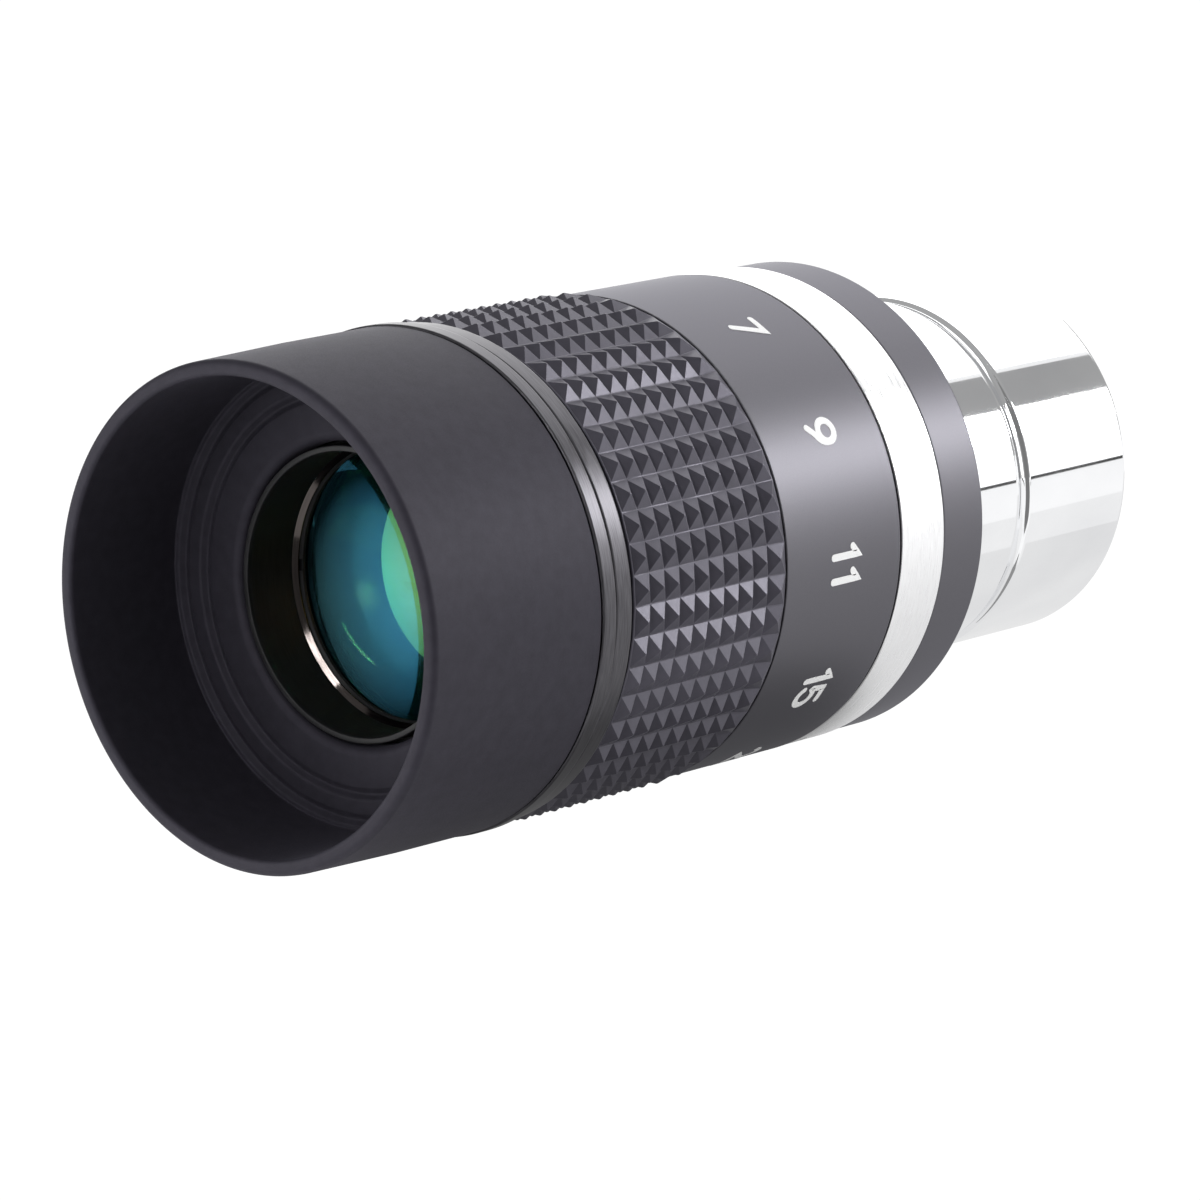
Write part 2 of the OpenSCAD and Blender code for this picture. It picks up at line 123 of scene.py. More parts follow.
def fillet(points, radius, steps=3, closed=True):
    """The outline with each sharp corner rounded, as far as its edges allow. A point may carry
    its own radius as a third value. The two ends of an open outline stay as they are."""
    least_turn = radians(14)
    most_of_edge = 0.45
    rounded = []
    radii = [p[2] if len(p) > 2 else radius for p in points]
    corners = [Vector(p[:2]) for p in points]
    count = len(points)
    for i, corner in enumerate(corners):
        before = corners[i - 1] - corner
        after = corners[(i + 1) % count] - corner
        turn = pi - before.angle(after)
        at_end = not closed and i in (0, count - 1)
        if at_end or turn < least_turn:
            rounded.append(tuple(points[i][:2]))
            continue
        cut = min(radii[i] * sin(turn / 2) / cos(turn / 2), most_of_edge * before.length,
                  most_of_edge * after.length)
        start = corner + before.normalized() * cut
        end = corner + after.normalized() * cut
        for k in range(steps + 1):
            t = k / steps
            p = start * (1 - t) ** 2 + corner * 2 * t * (1 - t) + end * t ** 2
            rounded.append((p.x, p.y))
    return rounded


def arc(cx, cy, radius, start, end, steps):
    """Points on an arc, angles in degrees."""
    angles = [radians(start + (end - start) * k / steps) for k in range(steps + 1)]
    return [(cx + radius * cos(a), cy + radius * sin(a)) for a in angles]


def join_rings(maker, here, there):
    """Faces between two loops of as many points."""
    count = len(here)
    for i in range(count):
        j = (i + 1) % count
        maker.faces.new((here[i], here[j], there[j], there[i]))


def finish_piece(maker, name, material, body, replaces=()):
    """Turns a bmesh into a piece: smooth, weighted normals, its material and body."""
    mesh = bpy.data.meshes.new(name)
    bmesh.ops.recalc_face_normals(maker, faces=maker.faces)
    maker.to_mesh(mesh)
    maker.free()
    mesh.shade_smooth()
    mesh.set_sharp_from_angle(angle=radians(40))
    mesh.materials.append(material)
    piece = add_object(name, mesh)
    weighted = piece.modifiers.new("weighted_normals", "WEIGHTED_NORMAL")
    weighted.keep_sharp = True
    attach(piece, body)
    if replaces:
        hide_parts(*replaces)
    return piece


def lathe(outline, shift=None):
    """A bmesh of a closed outline turned about the axis. shift(radius, height, angle) gives
    the radius where the surface isn't quite round, as on a thread."""
    maker = bmesh.new()
    rings = []
    for k in range(STEPS):
        angle = 2 * pi * k / STEPS
        rings.append([maker.verts.new(at(shift(r, h, angle) if shift else r, h, angle))
                      for r, h in outline])
    for here, there in zip(rings, rings[1:] + rings[:1]):
        join_rings(maker, here, there)
    return maker


# ---- Material tools ----

# The middle range of a noise texture's values, over which a look changes
NOISE_LOW = 0.3
NOISE_HIGH = 0.7
# Stretch of a texture that leaves fine lines round the axis, as a lathe does
TURNED = (0.06, 1, 0.06)


def principled(name, **sockets):
    """A new material and its Principled shader with the named sockets set."""
    material = bpy.data.materials.new(name)
    material.use_nodes = True
    shader = material.node_tree.nodes["Principled BSDF"]
    for socket, value in sockets.items():
        shader.inputs[socket.replace("_", " ")].default_value = value
    return material, shader


def noise(tree, scale, stretch=(1, 1, 1), *, detail, roughness=0.5):
    """The value of a noise texture on object coordinates, stretched along each axis."""
    nodes, links = tree.nodes, tree.links
    place = nodes.new("ShaderNodeTexCoord")
    mapping = nodes.new("ShaderNodeMapping")
    mapping.inputs["Scale"].default_value = stretch
    texture = nodes.new("ShaderNodeTexNoise")
    texture.inputs["Scale"].default_value = scale
    texture.inputs["Detail"].default_value = detail
    texture.inputs["Roughness"].default_value = roughness
    links.new(place.outputs["Object"], mapping.inputs["Vector"])
    links.new(mapping.outputs["Vector"], texture.inputs["Vector"])
    return texture.outputs["Fac"]


def vary_colour(material, shader, value, dark, light):
    """Base colour runs from dark to light over the middle range of a noise value."""
    ramp = material.node_tree.nodes.new("ShaderNodeValToRGB")
    ramp.color_ramp.elements[0].position = NOISE_LOW
    ramp.color_ramp.elements[0].color = (*dark, 1)
    ramp.color_ramp.elements[1].position = NOISE_HIGH
    ramp.color_ramp.elements[1].color = (*light, 1)
    material.node_tree.links.new(value, ramp.inputs["Fac"])
    material.node_tree.links.new(ramp.outputs["Color"], shader.inputs["Base Color"])


def vary_roughness(material, shader, value, low, high):
    """Roughness runs from low to high over the middle range of a noise value."""
    ramp = material.node_tree.nodes.new("ShaderNodeMapRange")
    ramp.inputs["From Min"].default_value = NOISE_LOW
    ramp.inputs["From Max"].default_value = NOISE_HIGH
    ramp.inputs["To Min"].default_value = low
    ramp.inputs["To Max"].default_value = high
    material.node_tree.links.new(value, ramp.inputs["Value"])
    material.node_tree.links.new(ramp.outputs["Result"], shader.inputs["Roughness"])


def bump(material, shader, value, depth_mm, strength):
    """Fine relief of the given depth, at a share of its full strength."""
    node = material.node_tree.nodes.new("ShaderNodeBump")
    node.inputs["Strength"].default_value = strength
    node.inputs["Distance"].default_value = depth_mm * MM
    material.node_tree.links.new(value, node.inputs["Height"])
    material.node_tree.links.new(node.outputs["Normal"], shader.inputs["Normal"])


def moulded_rubber(name, dark, light, roughness, gloss):
    """Rubber with a fine moulded grain and a cool, slightly violet sheen."""
    material, shader = principled(name, Specular_IOR_Level=gloss, Sheen_Weight=0.05,
                                  Sheen_Roughness=0.45, Sheen_Tint=(0.75, 0.72, 0.9, 1),
                                  Specular_Tint=(0.86, 0.83, 1, 1))
    vary_colour(material, shader, noise(material.node_tree, 900, detail=5), dark, light)
    fine = noise(material.node_tree, 9000, detail=4, roughness=0.6)
    vary_roughness(material, shader, fine, roughness - 0.05, roughness + 0.07)
    bump(material, shader, fine, 0.012, 0.5)
    return material


def anodised(name, dark, light, roughness):
    """Blasted and anodised aluminium: an even, fine grain."""
    material, shader = principled(name, Metallic=1, Specular_Tint=(0.85, 0.85, 0.88, 1))
    blasted = noise(material.node_tree, 14000, detail=3, roughness=0.6)
    vary_colour(material, shader, blasted, dark, light)
    vary_roughness(material, shader, blasted, roughness - 0.02, roughness + 0.03)
    bump(material, shader, blasted, 0.002, 0.3)
    return material


def turned_metal(name, dark, light, roughness):
    """Metal with the fine lines that a lathe leaves round the axis."""
    material, shader = principled(name, Metallic=1)
    lines = noise(material.node_tree, 9000, TURNED, detail=2)
    vary_colour(material, shader, lines, dark, light)
    vary_roughness(material, shader, lines, roughness - 0.04, roughness + 0.06)
    bump(material, shader, lines, 0.002, 0.5)
    return material


def bright_chrome():
    """Mirror chrome with faint smears."""
    material, shader = principled("bright_chrome", Metallic=1)
    smears = noise(material.node_tree, 160, (1, 0.5, 1), detail=5)
    vary_colour(material, shader, smears, (0.86, 0.865, 0.88), (0.93, 0.935, 0.945))
    vary_roughness(material, shader, smears, 0.035, 0.075)
    return material


def optical_black():
    """Matt black paint over turned metal, as in light baffles."""
    material, shader = principled("optical_black", Specular_IOR_Level=0.3)
    lines = noise(material.node_tree, 8000, TURNED, detail=2)
    vary_colour(material, shader, lines, (0.008, 0.008, 0.009), (0.02, 0.02, 0.022))
    vary_roughness(material, shader, lines, 0.38, 0.5)
    bump(material, shader, lines, 0.003, 0.5)
    return material


def enamel(name, colour, roughness):
    """Paint, print or plain plastic of one colour, with a faint grain."""
    material, shader = principled(name, Specular_IOR_Level=0.5)
    print_grain = noise(material.node_tree, 5000, detail=3)
    darker = tuple(c * 0.94 for c in colour)
    vary_colour(material, shader, print_grain, darker, colour)
    vary_roughness(material, shader, print_grain, roughness, roughness + 0.12)
    return material


def coated_glass(name, colour, film, index, roughness=0.0):
    """Glass that tints what it mirrors. The coating's thickness is in nanometres."""
    material, shader = principled(name, Transmission_Weight=1, IOR=index, Roughness=roughness,
                                  Thin_Film_Thickness=film, Thin_Film_IOR=1.38)
    dust = noise(material.node_tree, 1500, detail=6)
    vary_colour(material, shader, dust, tuple(c * 0.97 for c in colour), colour)
    return material


# Each look: its name, its darkest and lightest colour or its one colour, and its roughness
rubber_soft = moulded_rubber("rubber_soft", (0.018, 0.0165, 0.0225), (0.025, 0.0228, 0.031),
                             0.6, gloss=0.36)
rubber_grip = moulded_rubber("rubber_grip", (0.034, 0.032, 0.041), (0.05, 0.047, 0.06),
                             0.4, gloss=0.85)
black_anodised = anodised("black_anodised", (0.124, 0.121, 0.135), (0.148, 0.145, 0.16), 0.46)
ring_anodised = turned_metal("ring_anodised", (0.068, 0.066, 0.073), (0.112, 0.109, 0.119), 0.34)
satin_silver = turned_metal("satin_silver", (0.84, 0.84, 0.85), (0.93, 0.93, 0.94), 0.3)
chrome = bright_chrome()
black_metal = optical_black()
cam_alloy = turned_metal("cam_alloy", (0.5, 0.5, 0.52), (0.62, 0.62, 0.64), 0.3)
screw_steel = turned_metal("screw_steel", (0.22, 0.22, 0.23), (0.32, 0.32, 0.33), 0.35)
brass = turned_metal("brass", (0.62, 0.46, 0.2), (0.78, 0.6, 0.3), 0.28)
slip_plastic = enamel("slip_plastic", (0.85, 0.85, 0.82), 0.4)
white_print = enamel("white_print", (0.93, 0.93, 0.93), 0.42)
black_enamel = enamel("black_enamel", (0.012, 0.012, 0.012), 0.2)
# Each glass: its name, its colour, its coating's thickness and its index
front_glass = coated_glass("front_glass", (0.5, 0.74, 0.7), 440, 1.85)
back_glass = coated_glass("back_glass", (0.46, 0.68, 0.75), 333, 1.9)
inner_glass = coated_glass("inner_glass", (0.35, 0.68, 0.45), 400, 1.48, roughness=0.06)
polished_edge = turned_metal("polished_edge", (0.068, 0.059, 0.056), (0.085, 0.074, 0.07), 0.09)


# ---- Fixed body ----

def build_nosepiece():
    """Chrome barrel with its safety groove, and the filter thread inside its mouth."""
    low, top, radius = span("nosepiece")
    groove_low = -12.6
    groove_width = 1.8
    groove_high = groove_low + groove_width
    groove_floor = radius - 0.36
    bore = 14.2
    pitch = 0.6
    thread_crest = 13.95
    thread_root = thread_crest + 0.32
    relief = low + 4.5
    turns_start = relief - 0.1
    turns_end = low + 0.4
    # Above the shoulder the barrel narrows to a neck, then to a spigot inside the base ring
    neck = 15.6
    neck_high = 0.47
    spigot = 14.87
    chamfer = 0.2
    rows = int((turns_start - turns_end) / pitch * 10)
    thread = [(thread_root, turns_start + (turns_end - turns_start) * k / rows)
              for k in range(rows + 1)]
    outline = [(bore, relief + 0.3)] + thread + fillet([
        (thread_root, low + 0.35), (thread_root + 0.25, low), (radius, low, 0.5),
        (radius, groove_low, 0.4), (groove_floor, groove_low + 0.2, 0.35),
        (groove_floor, groove_low + groove_width * 0.4, 0.8), (radius, groove_high, 0.8),
        (radius, 0), (neck, 0), (neck, neck_high), (spigot, neck_high),
        (spigot, top - chamfer), (spigot - chamfer, top), (bore, top)], 0.22, closed=False)

    def helix(r, h, angle):
        """The thread's ridge stands inwards from its root."""
        if abs(r - thread_root) > 1e-6 or not turns_end < h < turns_start:
            return r
        phase = (h / pitch - angle / (2 * pi)) % 1.0
        ridge = 1 - abs(2 * phase - 1)
        return r - (thread_root - thread_crest) * min(1, max(0, ridge * 1.35 - 0.15))

    finish_piece(lathe(outline, helix), "nosepiece_chrome", chrome, "housing", ["nosepiece"])


build_nosepiece()


def build_base_ring():
    """Ring with the seating shoulder. Its hub goes up inside the silver band."""
    low, high, radius = span("base_ring")
    hub = 18.5
    mouth = 15.9
    mouth_top = low + 0.5
    throat = 14.9
    throat_top = low + 3
    bore = 15.55
    outline = fillet([
        (mouth, low), (radius, low), (radius, RIM_TOP), (hub, RIM_TOP), (hub, high), (bore, high),
        (bore, throat_top), (throat, throat_top), (throat, mouth_top), (mouth, mouth_top)], 0.32, 4)
    finish_piece(lathe(outline), "base_ring_satin", black_anodised, "housing",
                 ["base_ring"])


build_base_ring()


def plain_ring(node, bore, name, material, edge, trim):
    """A ring with softened edges in the place of a CAD ring, trimmed at both ends to leave a seam."""
    low, high, radius = span(node)
    low, high = low + trim, high - trim
    outline = fillet([(bore, low), (radius, low), (radius, high), (bore, high)], edge, 4)
    return finish_piece(lathe(outline), name, material, "housing", [node])


plain_ring("silver_band", 18.53, "silver_band_turned", satin_silver, 0.12, 0.05)
plain_ring("retaining_ring", NARROW_RING_BORE, "retaining_ring_satin", ring_anodised,
           0.3, 0.06)


def build_index_dot():
    """A domed drop of enamel, its foot sunk in the silver band."""
    angle = radians(INDEX_ANGLE)
    radius = 0.55
    sunk = 0.1
    sides = 32
    # Each ring's share of the radius, and its rise above the foot
    dome = ((1, 0), (1, 0.06), (0.92, 0.085), (0.6, 0.1))
    low, high, _ = span("index_dot")
    _, _, band = span("silver_band")
    along = Vector((0, 1, 0))
    out = at(1, 0, angle).normalized()
    around = along.cross(out)
    centre = at(band - sunk, (low + high) / 2, angle)
    turns = [2 * pi * k / sides for k in range(sides)]
    maker = bmesh.new()
    rings = []
    for share, rise in dome:
        reach = radius * share
        rings.append([maker.verts.new(
            centre + (out * rise + around * reach * cos(t) + along * reach * sin(t)) * MM)
            for t in turns])
    for lower, upper in zip(rings, rings[1:]):
        join_rings(maker, lower, upper)
    maker.faces.new(rings[-1])
    maker.faces.new(rings[0][::-1])
    finish_piece(maker, "index_dot_enamel", black_enamel, "housing", ["index_dot"])


build_index_dot()


def build_collar():
    """Ring under the eyecup, with the grooved hub that the eyecup's root grips."""
    low, high, radius = span("eyecup_collar")
    seam = 0.08
    foot = low + seam
    rim = COLLAR_TOP - seam
    bore = NARROW_RING_BORE
    hub = 17.6
    groove_floor = hub - 0.6
    groove_low = 51
    groove_high = 52.4
    outline = fillet([
        (bore, foot), (radius, foot), (radius, rim), (hub, rim), (hub, groove_low),
        (groove_floor, groove_low), (groove_floor, groove_high), (hub, groove_high), (hub, high),
        (bore, high)], 0.22, 4)
    finish_piece(lathe(outline), "eyecup_collar_satin", ring_anodised, "housing",
                 ["eyecup_collar"])


build_collar()


def build_eyecup():
    """Soft cup: slim tapering wall, rounded lip, and a floor that steps down to the lens."""
    low, high, radius = span("eyecup")
    wall = 19.2
    root = 17.65
    root_top = 54.1
    hole = 12.4
    step = 0.35
    groove = 0.2
    floor = span("eye_bezel")[1] + 0.1
    middle = floor + step
    upper = floor + 2 * step
    # From the wall inwards: the upper terrace's edge, a groove, and the middle terrace; then the
    # middle terrace's edge, a groove, and the floor
    upper_edge, upper_groove, middle_start = 18.7, 18.3, 17.8
    middle_edge, middle_groove, floor_start = 16.6, 16.2, 15.7
    outline = fillet([
        (root, low, 0.05), (radius, low, 0.14), (radius - 0.05, high - 10), (radius - 0.3, high, 0.6),
        (wall + 0.05, high, 0.4), (wall, high - 4), (wall - 0.1, upper, 0.5),
        (upper_edge, upper, 0.4), (upper_groove, middle - groove, 0.25), (middle_start, middle, 0.4),
        (middle_edge, middle, 0.4), (middle_groove, floor - groove, 0.25), (floor_start, floor, 0.4),
        (hole, floor, 0.9), (hole, root_top, 0.05), (root, root_top, 0.05)], 0.24, 6)
    finish_piece(lathe(outline), "eyecup_rubber", rubber_soft, "housing", ["eyecup"])


build_eyecup()


def build_bezel():
    """Black ring round the eye lens, and the bright edge at the foot of its wall."""
    low, high, _ = span("eye_bezel")
    outside = 12.1
    mouth = 11.62
    throat = 11.55
    throat_high = high - 0.5
    edge_inside = 11.4
    edge_outside = edge_inside + 0.4
    edge_high = low + 0.42
    outline = fillet([(edge_outside, low), (outside, low), (outside, high), (mouth, high),
                      (throat, throat_high)], 0.1, 4)
    outline += [(edge_outside, edge_high)]
    finish_piece(lathe(outline), "eye_bezel_black", black_metal, "housing",
                 ["eye_bezel"])
    edge = [(edge_inside, low), (edge_outside, low), (edge_outside, edge_high), (edge_inside, low + 0.1)]
    finish_piece(lathe(edge), "eye_bezel_edge", polished_edge, "housing")


build_bezel()


def build_eye_lens():
    """Front lens: a flat back, a ground edge and a smooth crown towards the eye."""
    low, high, radius = span("eye_lens")
    curve = 38.0
    rows = 40
    steps = 128
    profile = [(radius, low)]
    for k in range(rows):
        r = radius * (1 - k / rows)
        profile.append((r, high - curve + sqrt(curve ** 2 - r ** 2)))
    maker = bmesh.new()
    rings = [[maker.verts.new(at(r, h, 2 * pi * k / steps)) for k in range(steps)] for r, h in profile]
    for here, there in zip(rings, rings[1:]):
        join_rings(maker, here, there)
    tip = maker.verts.new(at(0, high, 0))
    for k in range(steps):
        maker.faces.new((rings[-1][k], rings[-1][(k + 1) % steps], tip))
    # The back takes the second material
    maker.faces.new(rings[0]).material_index = 1
    lens = finish_piece(maker, "eye_lens_glass", front_glass, "housing", ["eye_lens"])
    lens.data.materials.append(back_glass)


build_eye_lens()


# ---- Zoom ring ----

def build_sleeve():
    """Numbered sleeve, with a smaller seat under the grip."""
    low, high, radius = span("zoom_sleeve")
    bore = 17.53
    seat = 19.2
    outline = fillet([
        (bore, low), (radius, low, 0.25), (radius, SCALE_TOP, 0.12), (seat, SCALE_TOP), (seat, high),
        (bore, high)], 0.12, 4)
    finish_piece(lathe(outline), "zoom_sleeve_satin", black_anodised, "zoom_ring",
                 ["zoom_sleeve"])


build_sleeve()


def build_grip():
    """Rubber sleeve: square pyramids with blunt tips, narrow lines between their rows, and a low
    end that meets the numbered sleeve flush."""
    low, high, peak = span("rubber_grip")
    around = 50
    along = 10
    valley = peak - 0.7
    seat = 19.25
    land = 0.12
    edge = 0.08
    flush = span("zoom_sleeve")[2] - 0.05
    step = 2 * pi / around
    pitch = (high - low - 2 * land) / along
    # Half of the line between two pyramids, round the axis and along it
    half_line = 0.09 / valley / 2
    half_gap = 0.05 / 2
    tip_radius = peak - 0.01
    tip_angle = 0.07 / peak
    tip_height = 0.06
    maker = bmesh.new()

    def sides(i):
        """The two angles between which the pyramids of a column stand."""
        return i * step + half_line, (i + 1) * step - half_line

    def build_pyramid(i, j):
        """One pyramid; gives the four corners of its foot."""
        a0, a1 = sides(i)
        h0 = low + land + j * pitch + half_gap
        h1 = low + land + (j + 1) * pitch - half_gap
        middle_angle = (a0 + a1) / 2
        middle_height = (h0 + h1) / 2
        foot = valley if j else flush
        base = [maker.verts.new(at(r, h, a))
                for r, h, a in ((foot, h0, a0), (foot, h0, a1), (valley, h1, a1), (valley, h1, a0))]
        tip = [maker.verts.new(at(tip_radius, middle_height + s * tip_height,
                                  middle_angle + t * tip_angle))
               for t, s in ((-1, -1), (1, -1), (1, 1), (-1, 1))]
        join_rings(maker, base, tip)
        maker.faces.new(tip)
        return base

    cells = [[build_pyramid(i, j) for j in range(along)] for i in range(around)]
    # Both ends of the sleeve, as (name, height, radius)
    levels = (("low", low + edge, flush), ("low_edge", low, flush - edge), ("low_seat", low, seat),
              ("high", high - edge, valley), ("high_edge", high, valley - edge),
              ("high_seat", high, seat))
    down_and_back = ("low", "low_edge", "low_seat", "high_seat", "high_edge", "high")
    ends = {}
    for i in range(around):
        for side, angle in enumerate(sides(i)):
            for name, height, radius in levels:
                ends[name, i, side] = maker.verts.new(at(radius, height, angle))
    for i in range(around):
        n = (i + 1) % around
        for j in range(along):
            here, beside = cells[i][j], cells[n][j]
            maker.faces.new((here[1], beside[0], beside[3], here[2]))
            if j + 1 < along:
                above, across = cells[i][j + 1], cells[n][j + 1]
                maker.faces.new((here[3], here[2], above[1], above[0]))
                maker.faces.new((here[2], beside[3], across[0], above[1]))
        for a, b in (((i, 0), (i, 1)), ((i, 1), (n, 0))):
            first, last = (0, 1) if a[0] == b[0] else (1, 0)
            chain = [(cells[a[0]][0][first], cells[b[0]][0][last])]
            chain += [(ends[(name,) + a], ends[(name,) + b]) for name in down_and_back]
            chain += [(cells[a[0]][-1][3 - first], cells[b[0]][-1][3 - last])]
            for (p, q), (s, t) in zip(chain, chain[1:]):
                maker.faces.new((p, q, t, s))
    piece = finish_piece(maker, "grip_pyramids", rubber_grip, "zoom_ring",
                         ["rubber_grip"])
    soften = piece.modifiers.new("soft_edges", "BEVEL")
    soften.width = 0.045 * MM
    soften.segments = 2
    soften.limit_method = "ANGLE"
    soften.angle_limit = radians(18)
    # The softening comes before the weighted normals
    piece.modifiers.move(1, 0)


build_grip()


# ---- Numbers ----

def glyphs():
    """Strokes of each digit on a body 1 high and centred: open lines, and closed ones as loops.
    Each is (closed, points)."""
    bowl = arc(0.0, -0.19, 0.31, 140, -150, 16)
    nine_tail = [(0.3, 0.2)] + arc(-0.12, 0.12, 0.42, 0, -62, 10) + [(-0.04, -0.36), (-0.17, -0.5)]
    return {
        "1": [(False, [(-0.16, 0.3), (0.06, 0.5), (0.06, -0.5)])],
        "2": [(False, arc(0.0, 0.2, 0.3, 165, -35, 12) + [(-0.28, -0.5), (0.3, -0.5)])],
        "5": [(False, [(0.25, 0.5), (-0.2, 0.5), (-0.25, 0.02)] + bowl)],
        "7": [(False, [(-0.29, 0.5), (0.29, 0.5), (-0.1, -0.5)])],
        "9": [(True, arc(0.0, 0.2, 0.3, 0, 345, 23)), (False, nine_tail)],
    }


def resample(points, closed, spacing):
    """Extra points along the straight stretches, so that a stroke can follow a round surface."""
    pairs = list(zip(points, points[1:] + points[:1])) if closed else list(zip(points, points[1:]))
    dense = []
    for (x0, y0), (x1, y1) in pairs:
        count = max(1, ceil(hypot(x1 - x0, y1 - y0) / spacing))
        dense += [(x0 + (x1 - x0) * k / count, y0 + (y1 - y0) * k / count) for k in range(count)]
    return dense if closed else dense + [points[-1]]


def stroke_stations(points, closed, half):
    """(left point, right point) across a stroke at each place, with round ends."""
    count = len(points)
    sharpest = 0.45
    stations = []
    for i, (x, y) in enumerate(points):
        x0, y0 = points[i - 1] if closed or i else (2 * x - points[1][0], 2 * y - points[1][1])
        x1, y1 = (points[(i + 1) % count] if closed or i + 1 < count
                  else (2 * x - points[-2][0], 2 * y - points[-2][1]))
        before = Vector((x - x0, y - y0)).normalized()
        after = Vector((x1 - x, y1 - y)).normalized()
        middle = (before + after).normalized()
        reach = half / max(sharpest, middle.dot(after))
        across = Vector((-middle.y, middle.x)) * reach
        stations.append((Vector((x, y)) + across, Vector((x, y)) - across))
    if closed:
        return stations

    def cap(end, inward):
        """Stations of a round end, from its outermost point inwards."""
        outward = -inward.normalized()
        across = Vector((-inward.y, inward.x)).normalized()
        rows = []
        for k in (1, 2, 3, 4):
            t = radians(90 - k * 18)
            centre = end + outward * half * sin(t)
            rows.append((centre + across * half * cos(t), centre - across * half * cos(t)))
        return rows

    first, second = Vector(points[0]), Vector(points[1])
    last, before_last = Vector(points[-1]), Vector(points[-2])
    tail = [(b, a) for a, b in cap(last, before_last - last)]
    return cap(first, second - first) + stations + tail[::-1]


def build_number(text, angle, height):
    """A number printed on the sleeve, its top towards the nosepiece, read downwards."""
    size = 3.1
    thick = 0.03
    # As shares of the size
    half_stroke = 0.1
    advance = 0.66
    spacing = 0.05
    _, _, radius = span("zoom_sleeve")
    maker = bmesh.new()
    drawn = glyphs()

    def build_stroke(stations, closed, offset):
        """One stroke with its four sides, and its two ends when it is open."""
        rows = []
        for left, right in stations:
            rows.append([maker.verts.new(at(radius + lift, height - side.y * size,
                                            angle - (side.x + offset) * size / radius))
                         for side, lift in ((left, thick), (right, thick), (right, -thick),
                                            (left, -thick))])
        following = rows[1:] + rows[:1] if closed else rows[1:]
        for here, there in zip(rows, following):
            join_rings(maker, here, there)
        if not closed:
            maker.faces.new(rows[0])
            maker.faces.new(rows[-1][::-1])

    for place, character in enumerate(text):
        offset = (place - (len(text) - 1) / 2) * advance
        for closed, points in drawn[character]:
            dense = resample(points, closed, spacing)
            build_stroke(stroke_stations(dense, closed, half_stroke), closed, offset)
    finish_piece(maker, "number_" + text, white_print, "zoom_ring")


for place, number in enumerate(NUMBERS):
    build_number(number, radians(FIRST_NUMBER - NUMBER_STEP * place), NUMBER_HEIGHT)


# ---- Carried-over CAD nodes ----

# The look of each material slot
LOOKS = {
    "coated_glass": inner_glass, "blackened_metal": black_metal, "cam_alloy": cam_alloy,
    "steel_screws": screw_steel, "brass_pins": brass, "slip_plastic": slip_plastic,
    "chrome": chrome, "black_anodised": black_anodised, "satin_silver": satin_silver,
    "soft_rubber": rubber_soft, "grip_rubber": rubber_grip, "index_enamel": black_enamel,
}


def dress_cad_nodes():
    """Gives every CAD node the look of its material slot."""
    for part in frame["record"]["subparts"]:
        node = frame["nodes"][part["node"]]
        node.data.materials.clear()
        node.data.materials.append(LOOKS[part["material_slot"]])


dress_cad_nodes()


# ---- Stage ----
# Everything from here on is in metres.

# What a soft card adds to all of its face. The shade in front of the lens glows as little.
DIM = 0.1
LENS_CENTRE = Vector((0, -0.0505, 0))
# A place on the lower edge of the eye lens
LENS_EDGE = Vector((-0.008, -0.0505, -0.0075))
# Side cards: how far they are from the axis, and where they start and end along it
SIDE_REACH = 0.42
SIDE_NEAR = 0.2
SIDE_FAR = 0.85
# Cards below the object: where they start and end along the axis, and their height
UNDER_NEAR = -0.05
UNDER_FAR = 0.6
UNDER_DROP = -0.1
FLOOR_SIZE = 30.0
FLOOR_DROP = -0.3
SHADOW_DROP = -0.026
STRIP_DISTANCE = 0.45
STRIP_WIDTH = 0.02
STRIP_RADIANCE = 26.0


def card(name, corners, radiance, seen=False, soft=False):
    """A glowing card that lights the object and is mirrored in it. A soft one fades from its
    middle down to DIM."""
    mesh = bpy.data.meshes.new(name)
    mesh.from_pydata(corners, [], [(0, 1, 2, 3)])
    material = bpy.data.materials.new(name)
    material.use_nodes = True
    nodes, links = material.node_tree.nodes, material.node_tree.links
    nodes.remove(nodes["Principled BSDF"])
    glow = nodes.new("ShaderNodeEmission")
    glow.inputs["Color"].default_value = (1, 1, 1, 1)
    glow.inputs["Strength"].default_value = radiance
    links.new(glow.outputs["Emission"], nodes["Material Output"].inputs["Surface"])
    if soft:
        place = nodes.new("ShaderNodeTexCoord")
        centre = nodes.new("ShaderNodeMapping")
        centre.inputs["Location"].default_value = (-1, 0, -1)
        centre.inputs["Scale"].default_value = (2, 0, 2)
        fade = nodes.new("ShaderNodeTexGradient")
        level = nodes.new("ShaderNodeMath")
        fade.gradient_type = "SPHERICAL"
        level.operation = "MULTIPLY_ADD"
        level.inputs[1].default_value = radiance
        level.inputs[2].default_value = DIM
        links.new(place.outputs["Generated"], centre.inputs["Vector"])
        links.new(centre.outputs["Vector"], fade.inputs["Vector"])
        links.new(fade.outputs["Fac"], level.inputs[0])
        links.new(level.outputs["Value"], glow.inputs["Strength"])
    mesh.materials.append(material)
    piece = add_object(name, mesh)
    piece.visible_camera = seen


def level_card(name, across, along, height, radiance, seen=False):
    """A level card between two places across the axis and two along it."""
    left, right = across
    near, far = along
    corners = [(left, near, height), (right, near, height), (right, far, height), (left, far, height)]
    card(name, corners, radiance, seen=seen)


def side_card(name, turn, radiance):
    """A card beside the axis, from one angle round the axis to another, in degrees."""
    first, last = (radians(t) for t in turn)
    corners = [(SIDE_REACH * cos(a), y, SIDE_REACH * sin(a)) for a, y in
               ((first, SIDE_NEAR), (last, SIDE_NEAR), (last, SIDE_FAR), (first, SIDE_FAR))]
    card(name, corners, radiance)


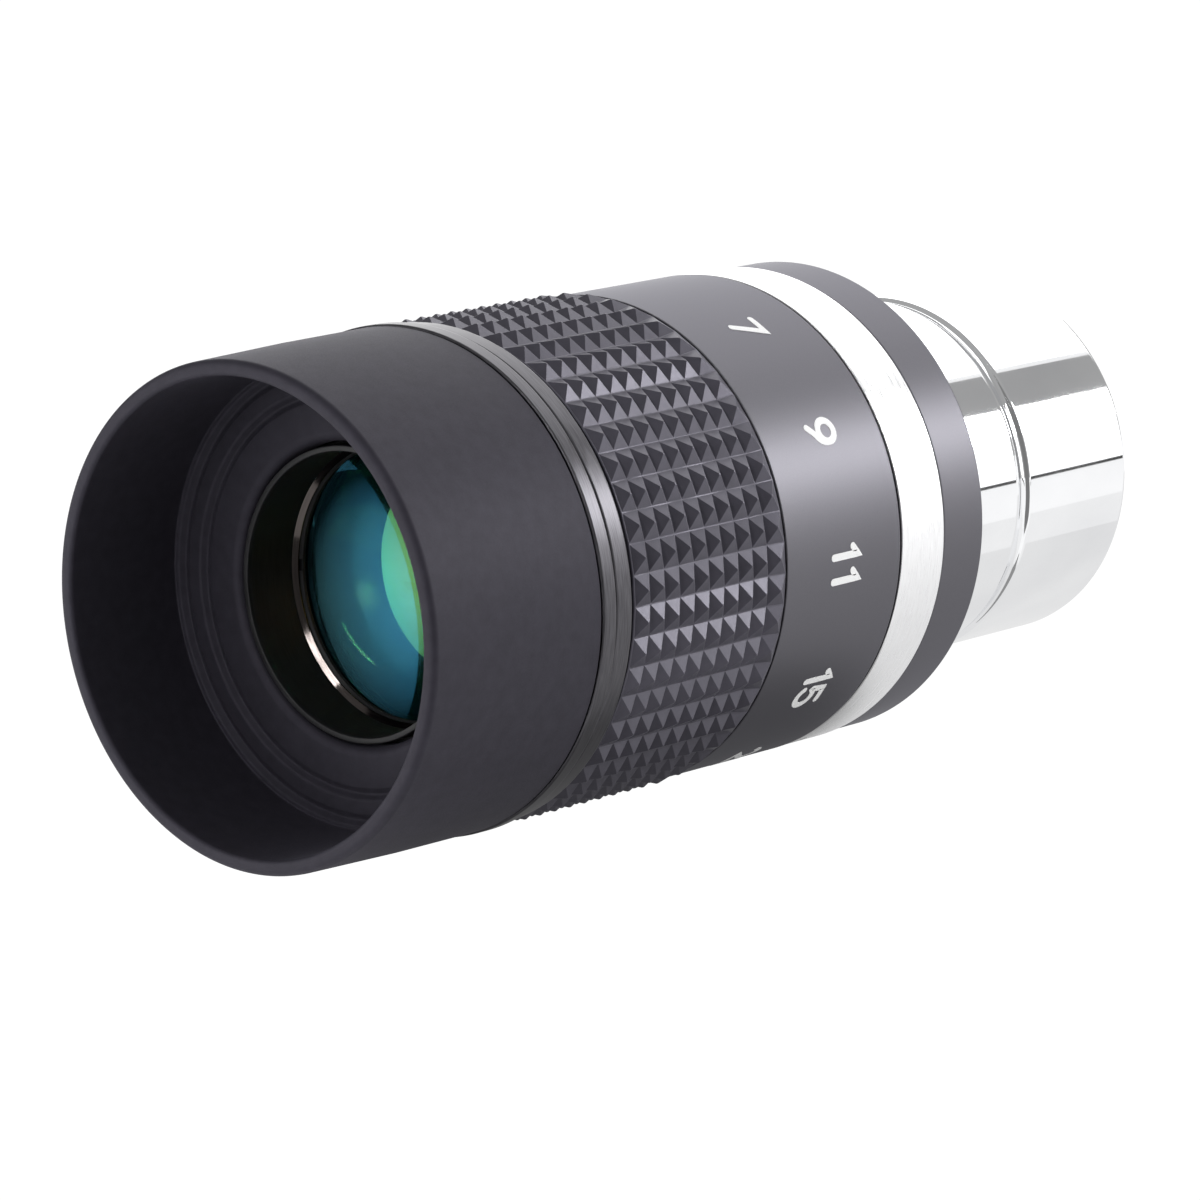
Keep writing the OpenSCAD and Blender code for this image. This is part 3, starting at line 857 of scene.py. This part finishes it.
def facing_card(name, direction, distance, width, height, radiance, soft=False):
    """An upright card some way off, turned to face the eye lens."""
    towards = Vector(direction).normalized()
    across = towards.cross(Vector((0, 0, 1))).normalized() * width / 2
    up = across.cross(towards).normalized() * height / 2
    centre = LENS_CENTRE + towards * distance
    corners = [centre - across - up, centre + across - up, centre + across + up, centre - across + up]
    card(name, corners, radiance, soft=soft)


def strip(name, first, last):
    """A narrow card that runs from one direction, as the lens's lower edge sees it, to another."""
    start, end = (Vector(d).normalized() * STRIP_DISTANCE for d in (first, last))
    side = (end - start).cross(start + end).normalized() * STRIP_WIDTH / 2
    corners = [LENS_EDGE + corner for corner in (start - side, start + side, end + side, end - side)]
    card(name, corners, STRIP_RADIANCE)


def set_world(radiance):
    """An even white world that lights the object from everywhere."""
    world = bpy.data.worlds.new("studio")
    world.use_nodes = True
    background = world.node_tree.nodes["Background"]
    background.inputs["Color"].default_value = (1, 1, 1, 1)
    background.inputs["Strength"].default_value = radiance
    bpy.context.scene.world = world


set_world(0.4)
level_card("floor", (-FLOOR_SIZE, FLOOR_SIZE), (-FLOOR_SIZE, FLOOR_SIZE), FLOOR_DROP, 1.05, seen=True)
side_card("key_high", (23, 41), 12.5)
side_card("key_low", (-3.6, 23), 1.7)
side_card("slit", (-5.6, -3.6), 0.06)
side_card("gap", (41, 66), 0.37)
side_card("gap_edge", (66, 69), 1.0)
side_card("roof_near", (69, 105), 2.2)
side_card("roof_mid", (105, 142), 2.25)
side_card("roof_far", (142, 185), 2.1)
level_card("under", (-0.6, 0.1), (UNDER_NEAR, UNDER_FAR), UNDER_DROP, 0.82)
level_card("under_edge", (0.1, 0.2), (UNDER_NEAR, UNDER_FAR), UNDER_DROP, 0.93)
level_card("shadow", (-0.06, 0.03), (-0.066, 0.004), SHADOW_DROP, 0.3)
facing_card("front_shade", (-0.52, -0.83, -0.21), 0.76, 1.8, 1.3, DIM)
facing_card("lens_glow", (-0.71, -0.69, -0.15), 0.36, 0.5, 0.46, 3.5, soft=True)
facing_card("camera_shade", (0.62, -0.78, 0.02), 0.6, 1.1, 0.9, 0.2)
facing_card("cup_fill", (0.03, -1, 0.03), 0.4, 0.15, 0.15, 11.0, soft=True)
strip("lens_arc_right", (0.422, -0.821, 0.386), (0.227, -0.773, 0.593))
strip("lens_arc_top", (0.227, -0.773, 0.593), (0.02, -0.71, 0.7))
bpy.context.scene.view_settings.view_transform = "Standard"
